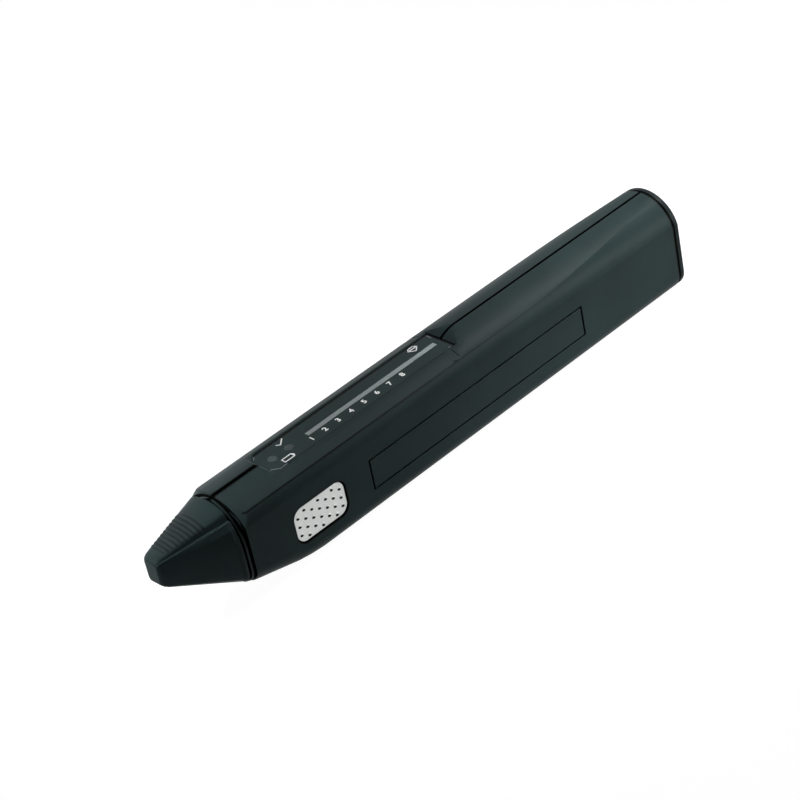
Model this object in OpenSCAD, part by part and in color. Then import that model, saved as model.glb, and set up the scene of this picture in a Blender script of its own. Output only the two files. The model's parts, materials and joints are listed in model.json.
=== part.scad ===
// Hand-held diamond tester: two half shells, a sprung probe under a pull-off nose cap,
// a lit scale on top, a studded push pad on the side and two cells behind a tail cap.
// The nose points to -X, the pad is on the -Y side, and the flat base rests on Z = 0.
// Lengths called s are measured back from the tip of the nose cap.

/* [Body] */
// Length from the tip of the nose cap to the tail
total_l = 176; // [170:1:190]
// Width across the two half shells
body_w = 20; // [19.6:0.2:22]
// Height from the flat base to the rear crown
body_h = 27.2; // [26.8:0.2:29]
// Wall of the half shells
wall = 1.8; // [1.5:0.1:2]
// Radius of the long bottom corners
corner_r = 4.7; // [4:0.1:5.4]
// Radius of the shoulder between the side and the roof
shoulder_r = 6; // [5:0.2:7.4]
// Half width of the roof at the shoulder crease
crease_y = 8.9; // [8.6:0.1:9.2]
// Drop from the rear crown to the shoulder crease
crease_drop = 3.1; // [2.8:0.1:3.5]
// Drop from the rear crown to the front crown
front_drop = 0.45; // [0.3:0.05:0.8]
// How much the radius of the round roof at the tail exceeds half the width
tail_extra = 0.2; // [0.2:0.1:0.8]
// Rise of the round tail roof from the tail to where it fades out behind the window
tail_rise = 2.4; // [2.2:0.1:3]
// Radius of the two arcs of the front roof
roof_r = 20; // [17:0.5:24]
// Distance from the tip to where the rising belly line meets the base
belly_s = 38.5; // [34:0.5:44]
// Rise of the belly towards the nose, in degrees
belly_a = 14; // [12:0.5:16]
// Radius of the blend between the base and the belly
blend_r = 50; // [40:1:60]
// Width of the groove along the seam of the shells
seam_w = 0.6; // [0.4:0.1:0.8]
// Depth of the groove along the seam of the shells
seam_d = 0.7; // [0.4:0.1:0.9]
// Width of the wider seam groove in front of the scale
front_seam_w = 1.1; // [0.8:0.1:1.4]
// Wall at the front end of the shells
front_wall = 1.3; // [1.1:0.1:1.6]
// Depth of the bevel on the shoulders at the front end of the shells
front_bevel = 1.1; // [0.6:0.1:1.2]
// Length of that bevel
front_bevel_l = 2.4; // [2:0.1:3]
// Width of the thin lip at the front end of the shells
lip_l = 0.67; // [0.5:0.05:0.9]
// Set-back of the lip from the outline of the shells
lip_set = 0.3; // [0.1:0.05:0.4]
// Width of the groove behind the lip
lip_groove_l = 0.67; // [0.4:0.05:0.8]
// Depth of the groove behind the lip
lip_groove_d = 0.5; // [0.3:0.1:0.7]

/* [Nose cap] */
// Length of the nose cap
cap_l = 19.17; // [17.5:0.01:21]
// Gap between the nose cap and the shells
cap_gap = 0.66; // [0.4:0.02:1]
// Radius of the two arcs of the cap rim
cap_arch_r = 11.5; // [11:0.1:12.5]
// Drop from the rear crown to the top of the cap rim
cap_drop = 0.3; // [0.2:0.05:0.6]
// Height of the bottom of the cap rim
cap_base_z = 5.9; // [5.4:0.1:6.4]
// Width of the flat face at the tip
tip_w = 5.2; // [4.8:0.1:6]
// Height of the flat face at the tip
tip_h = 7.5; // [7.2:0.1:8]
// Drop from the rear crown to the top of the tip
tip_drop = 4.9; // [4.6:0.1:5.2]
// Width of the ledge along the crease of the cap
cap_ledge = 0.9; // [0.7:0.05:1]
// Height of the step between the dome of the cap and that ledge, at the rim
cap_step = 1.4; // [1:0.1:1.6]
// Count of finger ribs across the top of the cap
rib_count = 9; // [6:1:10]
// Pitch of the finger ribs
rib_pitch = 1.15; // [0.9:0.05:1.25]
// Height of the finger ribs
rib_h = 0.22; // [0.1:0.02:0.3]
// Height of the bead round the sides of the cap rim
bead_h = 0.3; // [0.2:0.1:0.5]
// Width of the bead round the sides of the cap rim
bead_l = 0.8; // [0.6:0.1:1.2]

/* [Probe] */
// Drop from the rear crown to the probe axis
probe_drop = 8.8; // [8.6:0.1:9.2]
// Radius of the spigot that carries the nose cap
spigot_r = 6.2; // [5.8:0.1:6.3]
// Length of the spigot in front of the shells
spigot_l = 5.6; // [5:0.1:6]
// Radial clearance between the spigot and the nose cap
cap_fit = 0.08; // [0.05:0.01:0.1]
// Radius of the sliding probe rod
rod_r = 1.2; // [1:0.05:1.3]
// Radial running clearance of the probe rod
run_fit = 0.05; // [0.03:0.01:0.08]
// Radius of the copper point
point_r = 0.45; // [0.35:0.05:0.55]
// Travel of the probe when it is pressed on a stone
probe_travel = 2; // [1.5:0.1:2.4]
// Radius of the spring chamber
chamber_r = 2.6; // [2.4:0.1:2.8]
// Wire radius of the probe spring
spring_wire_r = 0.25; // [0.2:0.01:0.28]
// Turns of the probe spring
spring_turns = 8; // [6:1:9]

/* [Scale window] */
// Distance from the front of the shells to the window
window_s = 16.2; // [15.5:0.1:18]
// Length of the window
window_l = 61.4; // [58:0.2:64]
// Width of the window
window_w = 10; // [9.4:0.1:10.4]
// Thickness of the window
window_t = 1.2; // [1:0.1:1.4]
// Clearance round the window
window_fit = 0.1; // [0.05:0.01:0.15]
// Drop from the rear crown to the flat deck round the window
deck_drop = 1.5; // [1.4:0.05:1.7]
// Depth of the window face below the deck
window_sink = 0.2; // [0.1:0.05:0.3]
// Length of the chamfer on the front corners of the window
window_cut = 2.2; // [1.5:0.1:3]
// Distance from the front of the window to the light bar
bar_s = 15.2; // [14.5:0.1:16]
// Length of the light bar
bar_l = 44.2; // [40:0.2:44.4]
// Width of the light bar
bar_w = 1.5; // [1.2:0.1:1.8]
// Radius of the two indicator lights
lamp_r = 1.25; // [1:0.05:1.5]
// Distance from the front of the window to the low battery light
low_lamp_s = 3.9; // [3.6:0.1:4.2]
// Distance from the front of the window to the ready light
ready_lamp_s = 9.3; // [8.6:0.1:10]
// Count of light chips under the bar
chip_count = 10; // [8:1:12]

/* [Push pad] */
// Distance from the front of the shells to the middle of the pad
pad_s = 23.2; // [22.5:0.1:24]
// Height of the middle of the pad
pad_z = 11.57; // [11.2:0.01:12]
// Length of the pad
pad_l = 16.2; // [15:0.1:17]
// Height of the pad
pad_h = 9.4; // [8.8:0.1:9.8]
// Corner radius of the pad
pad_r = 2.7; // [2:0.1:3.2]
// Gap between the pad and the shell
pad_gap = 0.3; // [0.25:0.05:0.4]
// Thickness of the pad
pad_t = 0.8; // [0.6:0.1:1]
// Travel of the pad
pad_travel = 0.7; // [0.5:0.1:0.8]
// Pitch of the stud columns
stud_pitch_x = 2.27; // [2.1:0.01:2.3]
// Pitch of the studs in a column
stud_pitch_z = 2.45; // [2.3:0.01:2.5]
// Radius of a stud
stud_r = 0.52; // [0.4:0.02:0.6]
// Height of a stud
stud_h = 0.35; // [0.25:0.05:0.45]

/* [Side panel] */
// Distance from the front of the shells to the bare side panel
panel_s = 39.94; // [39:0.02:44]
// Length of the side panel
panel_l = 77; // [70:0.5:80]
// Height of the side panel
panel_h = 8.67; // [8:0.01:9]
// Height of the lower edge of the side panel
panel_z = 7.33; // [7:0.01:7.6]
// Depth of the side panel
panel_d = 0.35; // [0.2:0.05:0.5]

/* [Power] */
// Diameter of a cell
cell_d = 10.5; // [10:0.1:10.5]
// Length of a cell with its button end
cell_l = 44.5; // [43.5:0.1:44.5]
// Length of the contact springs
contact_spring_l = 4.6; // [4:0.1:5]
// Radius of the rear edge of the tail cap
tail_edge_r = 0.6; // [0.4:0.1:1.2]
// Thickness of the tail cap behind the shells
tail_t = 2.17; // [1.8:0.01:2.4]
// Gap between the tail cap and the shells
tail_gap = 0.35; // [0.2:0.01:0.45]
// Length of the tail cap plug inside the shells
plug_l = 3.4; // [3:0.1:4]
// Clearance round the tail cap plug
plug_fit = 0.15; // [0.1:0.01:0.2]

/* [Boards and fasteners] */
// Thickness of the circuit boards
board_t = 1.2; // [1:0.1:1.6]
// Shank radius of a case screw
screw_r = 0.9; // [0.8:0.05:1]
// Head radius of a case screw
head_r = 1.9; // [1.7:0.1:2]
// Radius of a screw boss
boss_r = 2.9; // [2.7:0.1:3]
// Distance from the front of the window to the controller chip
chip_place = 34; // [30:0.5:36]
// Distance from the front of the shells to the first case screw
nose_screw_s = 9.7; // [9:0.1:10.4]
// Distance from the front of the window to the second case screw
mid_screw_s = 24; // [22:0.5:26]
// Distance from the front of the window to the third case screw
rear_screw_s = 52; // [48:0.5:54]
// Distance from the last case screw to the bulkhead
bay_screw_s = 6; // [5:0.5:8]

/* [Hidden] */
$fn = 64;

shell_colour = "#1d2829";
dark_colour = "#0d1314";
metal_colour = "#c4c7c5";
board_colour = "#20603a";

// Small gaps shared by the fits
seat_gap = 0.1;
slip_gap = 0.05;
// Reach of a cutting shape past the surface it cuts
over = 1;

// Stations along the body
front_s = cap_l + cap_gap;
tail_s = total_l - tail_t;
lip_end_s = front_s + lip_l;
groove_end_s = lip_end_s + lip_groove_l;
cavity_s = front_s + front_wall;
window_front_s = front_s + window_s;
window_rear_s = window_front_s + window_l;

// Section of the body
half_w = body_w / 2;
shoulder_y = half_w - shoulder_r;
crease_z = body_h - crease_drop;
shoulder_z = crease_z - sqrt(pow(shoulder_r, 2) - pow(crease_y - shoulder_y, 2));
crown_r = (pow(crease_y, 2) + pow(crease_drop, 2)) / (2 * crease_drop);
front_rise = crease_drop - front_drop;
half_chord = norm([crease_y, front_rise]) / 2;
chord_share = sqrt(pow(roof_r, 2) - pow(half_chord, 2)) / (2 * half_chord);
roof_y = crease_y / 2 - front_rise * chord_share;
roof_z = crease_z + front_rise / 2 - crease_y * chord_share;
// Half width of the roof that the shoulder arcs leave free
free_roof_y = 0.9 * crease_y;
sky = 4;
sky_z = body_h + sky;
deck_z = body_h - deck_drop;
blend_s = belly_s + blend_r * tan(belly_a / 2);
bend_steps = 3;
channel_lean = 4;
channel_h = total_l;
// Where the front roof starts to fade into the rear crown, and how steeply
trim_lead = 2;
trim_a = 4;
trim_reach = 25;
// The window deck has a steep ramp in front and a gentle one with a round shoulder behind
front_ramp_a = 45;
rear_ramp_a = 30;
ramp_round = 10;
ramp_steps = 5;

// Bevel round the front end: a cone about an axis between the bottom corners and the crease
bevel_share = 0.36;
bevel_spare = 0.2;
low_corner_z = corner_r + (belly_s - groove_end_s) * tan(belly_a);
bevel_z = blend(low_corner_z, crease_z, bevel_share);
bevel_end_r = norm([crease_y, crease_z - bevel_z]) + bevel_spare;
bevel_slope = (front_bevel + bevel_spare) / front_bevel_l;

// Round roof at the tail: its axis rises towards the window
tail_r = half_w + tail_extra;
tail_lift = 0.1;
tail_axis_z = body_h + tail_lift - tail_r;
tail_cover = 1.5;
fade_lead = 8;
fade_s = window_rear_s + fade_lead;
fade_a = atan(tail_rise / (tail_s - fade_s));

// Cap rim and lip
arch_y = cap_arch_r - half_w;
arch_top_z = body_h - cap_drop;
arch_z = arch_top_z - sqrt(pow(cap_arch_r, 2) - pow(arch_y, 2));

// Nose bush and probe stations
bush_tab_z0 = -6;
bush_tab_z1 = -2;
bush_plate_t = 2.6;
bush_plate_s = cavity_s + seat_gap;
bush_rear_s = bush_plate_s + bush_plate_t;
hub_l = 9.2;
hub_r = 4.2;
hub_end_s = bush_rear_s + hub_l;
spigot_s = front_s - spigot_l;
cone_l = 6;
cone_s = spigot_s - cone_l;
cone_step = 1.2;
cone_base_r = spigot_r - cone_step;
cone_wall = 1;
cone_tip_r = rod_r + cone_wall;
guide_l = 1.4;
chamber_s = spigot_s + guide_l;
collar_l = 2;
collar_s = chamber_s + slip_gap;
collar_end_s = collar_s + collar_l;
rod_reach = 3.3;
rod_s = cone_s - rod_reach;
point_reach = 1.8;
point_s = rod_s - point_reach;
point_grip = 1.8;
seat_l = 3.4;
seat_s = hub_end_s - seat_l;
seat_flange_t = 1.4;
seat_end_s = hub_end_s + seat_flange_t;
heater_r = 0.6;
heater_l = 6;
heater_set = 4.5;
heater_s = rod_s + heater_set;
tip_clear = 0.9;
cone_clear = 0.6;
rod_clear = 0.5;
coil_clear = 0.2;
probe_z = body_h - probe_drop;

// Window, boards and lights
window_top_z = deck_z - window_sink;
window_base_z = window_top_z - window_t;
ledge_t = 1.5;
ledge_y = 3.6;
light_gap = 0.05;
light_room = 2.6;
board_top_z = window_base_z - light_room;
board_base_z = board_top_z - board_t;
board_half_w = 6.9;
rail_y = 6;
rail_t = 1.2;
board_lead = 1.6;
board_front_s = seat_end_s + board_lead;
chip_h = 1.2;
chip_share = 0.8;

// Push pad and its switch
pad_mid_s = front_s + pad_s;
pad_face_y = -half_w + stud_h;
pad_back_y = pad_face_y + pad_t;
inner_y = half_w - wall;
flange_rim = 1;
flange_room = 0.3;
flange_t = 0.9;
flange_y = -inner_y + seat_gap;
stem_r = 1.5;
stem_l = 1.2;
stem_end_y = flange_y + flange_t + stem_l;
plunger_r = 1.6;
plunger_l = 2;
plunger_y = stem_end_y + slip_gap;
switch_gap = pad_travel + seat_gap;
switch_y = plunger_y + switch_gap;
switch_t = 3.4;
switch_w = 6;
board_face_y = switch_y + switch_t;
switch_board_l = 14;
switch_board_h = 10;
switch_board_t = 1;
peg_s = 5;
peg_z = 3;
peg_r = 0.8;
post_r = 1.8;
column_count = 7;

// Power stations, counted forward from the tail
contact_t = 0.4;
plug_s = tail_s + tail_gap - plug_l;
bridge_s = plug_s - contact_t;
lower_cell_s = bridge_s - seat_gap - cell_l;
contact_s = lower_cell_s - seat_gap - contact_spring_l;
upper_cell_s = contact_s + seat_gap;
bulkhead_t = 2;
bulkhead_s = contact_s - contact_t - bulkhead_t;
cell_gap = 0.2;
cell_r = cell_d / 2;
lower_cell_z = wall + cell_gap + cell_r;
upper_cell_z = lower_cell_z + cell_d + cell_gap;
cell_fit = 0.1;
nub_r = 1.9;
nub_l = 1;
cell_edge_r = 0.5;
contact_spring_r = 3;
contact_wire_r = 0.35;
contact_turns = 4;
rib_t = 1.2;
cell_rib_count = 3;
tab_reach = 1.2;
tab_t = 1.1;
tab_drop = 2;

board_gap = 1.5;
board_end_s = bulkhead_s - board_gap;
strip_reach = 4;
riser_y = 4.5;
riser_w = 1.6;

// Case screws go in from the left shell: station and height of each
boss_lift = 0.2;
base_boss_z = wall + boss_r + boss_lift;
hub_boss_gap = 1.9;
bay_screw_z = 12.5;
screw_places = [
    [front_s + nose_screw_s, probe_z - hub_r - boss_r - hub_boss_gap],
    [window_front_s + mid_screw_s, base_boss_z],
    [window_front_s + rear_screw_s, base_boss_z],
    [bulkhead_s - bay_screw_s, bay_screw_z]
];
head_well = 3.4;
head_seat_y = half_w - head_well;
head_h = 1.4;
drive_l = 2.6;
drive_w = 0.5;
screw_tip_cover = 5;
screw_end_y = -half_w + screw_tip_cover;
screw_fit = 0.1;

function at(s) = s - total_l / 2;
function blend(a, b, t) = a + (b - a) * t;

// Shape in the YZ plane, drawn out along the body
module along_x(s0, s1) {
    translate([at(s0), 0, 0]) rotate([90, 0, 90]) linear_extrude(s1 - s0) children();
}

// Shape in the XZ plane, drawn out across the body
module along_y(y0, y1) {
    translate([0, y1, 0]) rotate([90, 0, 0]) linear_extrude(y1 - y0) children();
}

module rod_x(s0, s1, r, y = 0, z = probe_z) {
    translate([at(s0), y, z]) rotate([0, 90, 0]) cylinder(h = s1 - s0, r = r);
}

module cone_x(s0, s1, r0, r1) {
    translate([at(s0), 0, probe_z]) rotate([0, 90, 0]) cylinder(h = s1 - s0, r1 = r0, r2 = r1);
}

module rod_y(y0, y1, r, s, z) {
    translate([at(s), y0, z]) rotate([-90, 0, 0]) cylinder(h = y1 - y0, r = r);
}

module rod_z(z0, z1, r, s, y = 0) {
    translate([at(s), y, z0]) cylinder(h = z1 - z0, r = r);
}

module block(s0, s1, y0, y1, z0, z1) {
    translate([at(s0), y0, z0]) cube([s1 - s0, y1 - y0, z1 - z0]);
}

// Sides, shoulder arcs and round bottom corners of the section, drawn in by d
module flank(d) {
    for (side = [-1, 1]) {
        translate([side * shoulder_y, shoulder_z]) circle(shoulder_r - d);
        translate([side * (half_w - corner_r), corner_r]) circle(corner_r - d);
    }
    translate([-half_w + d, corner_r]) square([body_w - 2 * d, shoulder_z - corner_r]);
    translate([-half_w + corner_r, d]) square([body_w - 2 * corner_r, shoulder_z - d]);
    translate([-free_roof_y + d, corner_r]) square([2 * (free_roof_y - d), sky_z - corner_r]);
}

// One round roof arc behind the window
module rear_roof(d) {
    translate([0, body_h - crown_r]) circle(crown_r - d);
    translate([-body_w, -over]) square([2 * body_w, body_h - crown_r + over]);
}

// Two flatter arcs that meet in a ridge, beside and in front of the window
module front_roof(d) {
    intersection_for (side = [-1, 1])
        translate([side * roof_y, roof_z - d]) circle(roof_r);
    translate([-body_w, -over]) square([2 * body_w, roof_z + over]);
}

module rear_section(d) {
    intersection() {
        rear_roof(d);
        flank(d);
    }
}

module front_section(d) {
    intersection() {
        front_roof(d);
        flank(d);
    }
}

// Pointed arch of the lip
module arch_section(d) {
    intersection_for (side = [-1, 1])
        translate([side * arch_y, arch_z]) circle(cap_arch_r - d);
    translate([-half_w + d, 0]) square([body_w - 2 * d, arch_z]);
}

// Channel with round bottom corners and sides that lean out a little
module channel_section(d) {
    r = corner_r - d;
    side_y = half_w - corner_r + r * cos(channel_lean);
    side_z = corner_r - r * sin(channel_lean);
    reach = channel_h * tan(channel_lean);
    for (side = [-1, 1])
        translate([side * (half_w - corner_r), corner_r]) circle(r);
    translate([-half_w + corner_r, d]) square([body_w - 2 * corner_r, corner_r]);
    polygon([
        [-side_y, side_z],
        [side_y, side_z],
        [side_y + reach, side_z + channel_h],
        [-side_y - reach, side_z + channel_h]
    ]);
}

// Rising belly: the flat base bends up towards the nose in equal steps
module belly(d) {
    intersection_for (i = [1 : bend_steps])
        translate([at(blend_s), 0, blend_r]) rotate([0, belly_a * i / bend_steps, 0])
            translate([-at(blend_s), 0, -blend_r])
                along_x(-total_l, 2 * total_l) channel_section(d);
}

// Notch over the window: a ramp down, the flat deck, and a ramp with a round shoulder up
module deck_notch(d) {
    base_z = deck_z - d;
    front_s0 = window_front_s - d * tan(front_ramp_a / 2);
    front_climb = deck_drop + over;
    rear_s0 = window_rear_s + d * tan(rear_ramp_a / 2);
    top_s = rear_s0 + deck_drop / tan(rear_ramp_a) + ramp_round * tan(rear_ramp_a / 2);
    along_y(-body_w, body_w)
        polygon([
            [at(front_s0), base_z],
            [at(front_s0 - front_climb / tan(front_ramp_a)), base_z + front_climb],
            [at(front_s0 - front_climb / tan(front_ramp_a)), sky_z + over],
            [at(top_s), sky_z + over],
            for (i = [0 : ramp_steps])
                let (a = 90 + rear_ramp_a * i / ramp_steps)
                [at(top_s + ramp_round * cos(a)), body_h - d - ramp_round + ramp_round * sin(a)],
            [at(rear_s0), base_z]
        ]);
}

// What the lower front roof takes off the rear section, fading out behind the window
module roof_trim() {
    trim_s = window_rear_s - trim_lead;
    along_x(0, trim_s) roof_waste();
    translate([at(trim_s), 0, roof_z]) rotate([0, -trim_a, 0]) translate([-at(trim_s), 0, -roof_z])
        along_x(trim_s - over, trim_s + trim_reach) roof_waste();
}

module roof_waste() {
    difference() {
        translate([-body_w, roof_z + over]) square([2 * body_w, body_h]);
        front_roof(0);
    }
}

// What the round roof at the tail takes off the shoulders
module tail_waste() {
    difference() {
        block(fade_s, total_l, -body_w, body_w, tail_axis_z + tail_cover, sky_z + over);
        translate([at(tail_s), 0, tail_axis_z]) rotate([0, fade_a, 0]) translate([-total_l / 2, 0, 0])
            rotate([0, 90, 0]) cylinder(h = total_l, r = tail_r);
    }
}

// What the bevel round the front end takes off the shoulders
module bevel_waste() {
    bevel_cone_l = front_bevel_l + 2 * over;
    difference() {
        block(groove_end_s - over, groove_end_s + front_bevel_l, -body_w, body_w, -over, sky_z + over);
        translate([at(groove_end_s - over), 0, bevel_z]) rotate([0, 90, 0])
            cylinder(h = bevel_cone_l, r1 = bevel_end_r + bevel_slope * (over - bevel_cone_l),
                r2 = bevel_end_r + bevel_slope * over);
    }
}

// Outer form of both shells
module outer_form() {
    difference() {
        intersection() {
            along_x(groove_end_s, tail_s) rear_section(0);
            belly(0);
        }
        roof_trim();
        tail_waste();
        bevel_waste();
        deck_notch(0);
    }
}

// Space inside the outer form, drawn in by d
module inner_form(d, s0, s1) {
    difference() {
        intersection() {
            along_x(s0, s1) front_section(d);
            belly(d);
        }
        deck_notch(d);
    }
}

// Lip at the front end, with the groove behind it
module lip_form() {
    groove_set = lip_set + lip_groove_d;
    intersection() {
        along_x(front_s, lip_end_s) arch_section(lip_set);
        belly(lip_set);
    }
    intersection() {
        along_x(front_s, groove_end_s + slip_gap) arch_section(groove_set);
        belly(groove_set);
    }
}

// Rounded rectangle round the middle of the pad, grown by g
module pad_outline(g) {
    r = pad_r + g;
    half_l = pad_l / 2 - pad_r;
    half_h = pad_h / 2 - pad_r;
    translate([at(pad_mid_s), pad_z]) {
        for (i = [-1, 1], k = [-1, 1])
            translate([i * half_l, k * half_h]) circle(r);
        square([2 * half_l, 2 * (half_h + r)], center = true);
        square([2 * (half_l + r), 2 * half_h], center = true);
    }
}

// Window with chamfered front corners, grown by g
module window_outline(g) {
    half = window_w / 2 + g;
    cut = window_cut + g * (2 - sqrt(2));
    polygon([
        [at(window_front_s) - g, -half + cut],
        [at(window_front_s) - g + cut, -half],
        [at(window_rear_s) + g, -half],
        [at(window_rear_s) + g, half],
        [at(window_front_s) - g + cut, half],
        [at(window_front_s) - g, half - cut]
    ]);
}

// Ledges, rails and tabs that carry the pieces inside one shell
module shell_seats(side) {
    flip = side < 0 ? 1 : 0;
    mirror([0, flip, 0]) {
        block(window_front_s - over, window_rear_s + over, ledge_y, half_w,
            window_base_z - ledge_t, window_base_z);
        block(board_front_s, board_end_s, rail_y, half_w, board_base_z - rail_t, board_base_z);
        block(bush_rear_s + seat_gap, bush_rear_s + seat_gap + tab_t, inner_y - tab_reach, half_w,
            probe_z + bush_tab_z0, probe_z + bush_tab_z1);
        for (s = [bulkhead_s - seat_gap - tab_t, contact_s + seat_gap])
            block(s, s + tab_t, inner_y - tab_reach, half_w, lower_cell_z - tab_drop, upper_cell_z);
        for (place = screw_places)
            rod_y(slip_gap, half_w, boss_r, place[0], place[1]);
    }
}

// Cross ribs that cradle the two cells
module cell_ribs() {
    step = cell_l / (cell_rib_count + 1);
    for (i = [1 : cell_rib_count]) {
        s = lower_cell_s + i * step - rib_t;
        block(s, s + rib_t, -half_w, half_w, 0, upper_cell_z + cell_r / 2);
    }
}

// Room for the two cells
module cell_bay() {
    for (z = [lower_cell_z, upper_cell_z])
        rod_x(contact_s, total_l, cell_r + cell_fit, 0, z);
}

// Grooves along the seam of the two shells
module seam_grooves() {
    difference() {
        union() {
            block(window_front_s, total_l, -seam_w / 2, seam_w / 2, -over, sky_z);
            block(0, window_front_s, -front_seam_w / 2, front_seam_w / 2, -over, sky_z);
        }
        inner_form(seam_d, 0, total_l + over);
    }
}

// Everything that both shells share, before each takes its own half
module shell_blank(side) {
    difference() {
        union() {
            difference() {
                union() {
                    outer_form();
                    lip_form();
                }
                inner_form(wall, cavity_s, total_l);
            }
            intersection() {
                union() {
                    shell_seats(side);
                    cell_ribs();
                }
                inner_form(wall / 2, cavity_s, tail_s);
            }
        }
        seam_grooves();
        cell_bay();
        rod_x(0, cavity_s + over, spigot_r + cap_fit);
        translate([0, 0, window_base_z]) linear_extrude(sky_z - window_base_z) window_outline(window_fit);
        block(window_front_s + over, window_rear_s - over, -ledge_y, ledge_y, board_top_z, sky_z);
    }
}

module right_shell() {
    color(shell_colour) difference() {
        intersection() {
            shell_blank(-1);
            block(0, total_l, -half_w, 0, -over, sky_z);
        }
        along_y(-half_w - over, 0) pad_outline(pad_gap);
        along_y(-inner_y + slip_gap, 0) pad_outline(flange_rim + flange_room);
        block(front_s + panel_s, front_s + panel_s + panel_l, -half_w - over, -half_w + panel_d,
            panel_z, panel_z + panel_h);
        for (place = screw_places)
            rod_y(screw_end_y - seat_gap, over, screw_r + slip_gap, place[0], place[1]);
    }
}

module left_shell() {
    color(shell_colour) difference() {
        union() {
            intersection() {
                shell_blank(1);
                block(0, total_l, 0, half_w, -over, sky_z);
            }
            board_posts();
        }
        for (place = screw_places) {
            rod_y(-over, half_w, screw_r + screw_fit, place[0], place[1]);
            rod_y(head_seat_y, half_w + over, head_r + screw_fit, place[0], place[1]);
        }
    }
}

// Posts with pegs that hold the switch board
module board_posts() {
    back_y = board_face_y + switch_board_t;
    for (k = [-1, 1]) {
        rod_y(back_y, half_w - wall / 2, post_r, pad_mid_s + k * peg_s, pad_z + k * peg_z);
        rod_y(board_face_y, half_w - wall / 2, peg_r, pad_mid_s + k * peg_s, pad_z + k * peg_z);
    }
}

module case_screws() {
    color(metal_colour) for (place = screw_places) difference() {
        union() {
            rod_y(screw_end_y, head_seat_y + head_h / 2, screw_r, place[0], place[1]);
            rod_y(head_seat_y, head_seat_y + head_h, head_r, place[0], place[1]);
        }
        for (turn = [0, 90])
            translate([at(place[0]), head_seat_y + head_h, place[1]]) rotate([0, turn, 0])
                cube([drive_l, head_h, drive_w], center = true);
    }
}

// Nose cap: rings of points run from the tip to the rim.
// Each ring goes from the crown over the step and the crease and down the side to the bottom, then up again.
cap_top_steps = 8;
cap_side_steps = 5;
cap_corner_steps = 3;
cap_crease_a = 72;
tip_top_z = body_h - tip_drop;
tip_z = tip_top_z - tip_h;
rim_crease_y = 7.5;
rim_crease_fall = 0.6;
rim_crease = [rim_crease_y, crease_z - rim_crease_fall];
tip_crease_out = 0.1;
tip_crease_fall = 0.8;
tip_crease = [tip_w / 2 + tip_crease_out, tip_top_z - tip_crease_fall];
ledge_rise = 0.1;
ledge_taper = 0.7;
step_lean = 0.5;
bulge_fall = 0.8;
rib_fade = 5;
side_bulge = 1;
bead_set = 0.22;
rim_side_y = half_w - bead_h - bead_set;
rim_corner_r = 2.9;
tip_corner_r = 1;
cap_wall = 1.4;
sleeve_t = 0.8;
sleeve_set = 0.5;
rib_start_s = 3.2;
bead_step = 0.3;
rib_rings = 4;
// Rounded edge of the tip: distance from the tip, and share of the full ring
tip_edge = [[0, 0.74], [0.3, 0.87], [0.8, 0.955], [1.6, 1]];

function cap_half_ring(t, lift, bead) =
    let (
        crown_z = blend(arch_top_z, tip_top_z, t),
        crease = blend(rim_crease, tip_crease, t),
        taper = 1 - ledge_taper * t,
        ledge = crease + [-cap_ledge, ledge_rise] * taper,
        dome = ledge + [-step_lean, cap_step] * taper,
        base_z = blend(cap_base_z, tip_z, t),
        r = blend(rim_corner_r, tip_corner_r, t),
        foot = [blend(rim_side_y, tip_w / 2, t) + bead, base_z + r],
        bulge = [
            blend(rim_side_y + side_bulge, tip_w / 2, t) + bead,
            blend(shoulder_z - bulge_fall, tip_z + tip_h / 2, t)
        ]
    )
    concat(
        [for (i = [0 : cap_top_steps])
            let (
                a = cap_crease_a * i / cap_top_steps,
                fade = lift * min(1, rib_fade * (1 - i / cap_top_steps)),
                y = dome[0] * sin(a) / sin(cap_crease_a),
                z = dome[1] + (crown_z - dome[1]) * (cos(a) - cos(cap_crease_a)) / (1 - cos(cap_crease_a))
            )
            [y + fade * sin(a), z + fade * cos(a)]],
        [ledge],
        [for (i = [0 : cap_side_steps])
            let (q = i / cap_side_steps)
            pow(1 - q, 2) * crease + 2 * q * (1 - q) * bulge + q * q * foot],
        [for (i = [1 : cap_corner_steps])
            let (a = 90 * i / cap_corner_steps)
            [foot[0] - r + r * cos(a), base_z + r - r * sin(a)]]
    );

function cap_ring(s, lift = 0, bead = 0, shrink = 1) =
    let (
        t = 1 - s / cap_l,
        half = cap_half_ring(t, lift, bead),
        n = len(half),
        mid_z = blend((arch_top_z + cap_base_z) / 2, tip_z + tip_h / 2, t)
    )
    [for (p = concat(half, [for (i = [n - 1 : -1 : 1]) [-half[i][0], half[i][1]]]))
        [at(s), p[0] * shrink, mid_z + (p[1] - mid_z) * shrink]];

// Ring of the hollow inside the cap, one wall in from the outside
function hollow_ring(s) = cap_ring(s, shrink = 1 - cap_wall / blend(tip_w / 2, half_w, s / cap_l));

cap_rings = concat(
    [for (edge = tip_edge) cap_ring(edge[0], shrink = edge[1])],
    [for (i = [0 : rib_count - 1], k = [0 : rib_rings - 1])
        cap_ring(rib_start_s + (i + k / rib_rings) * rib_pitch, k == 1 || k == 2 ? rib_h : 0)],
    [cap_ring(cap_l - bead_l - bead_step)],
    [cap_ring(cap_l - bead_l, 0, bead_h)],
    [cap_ring(cap_l - bead_step, 0, bead_h)],
    [cap_ring(cap_l, 0, bead_h / 2)]
);

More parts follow.
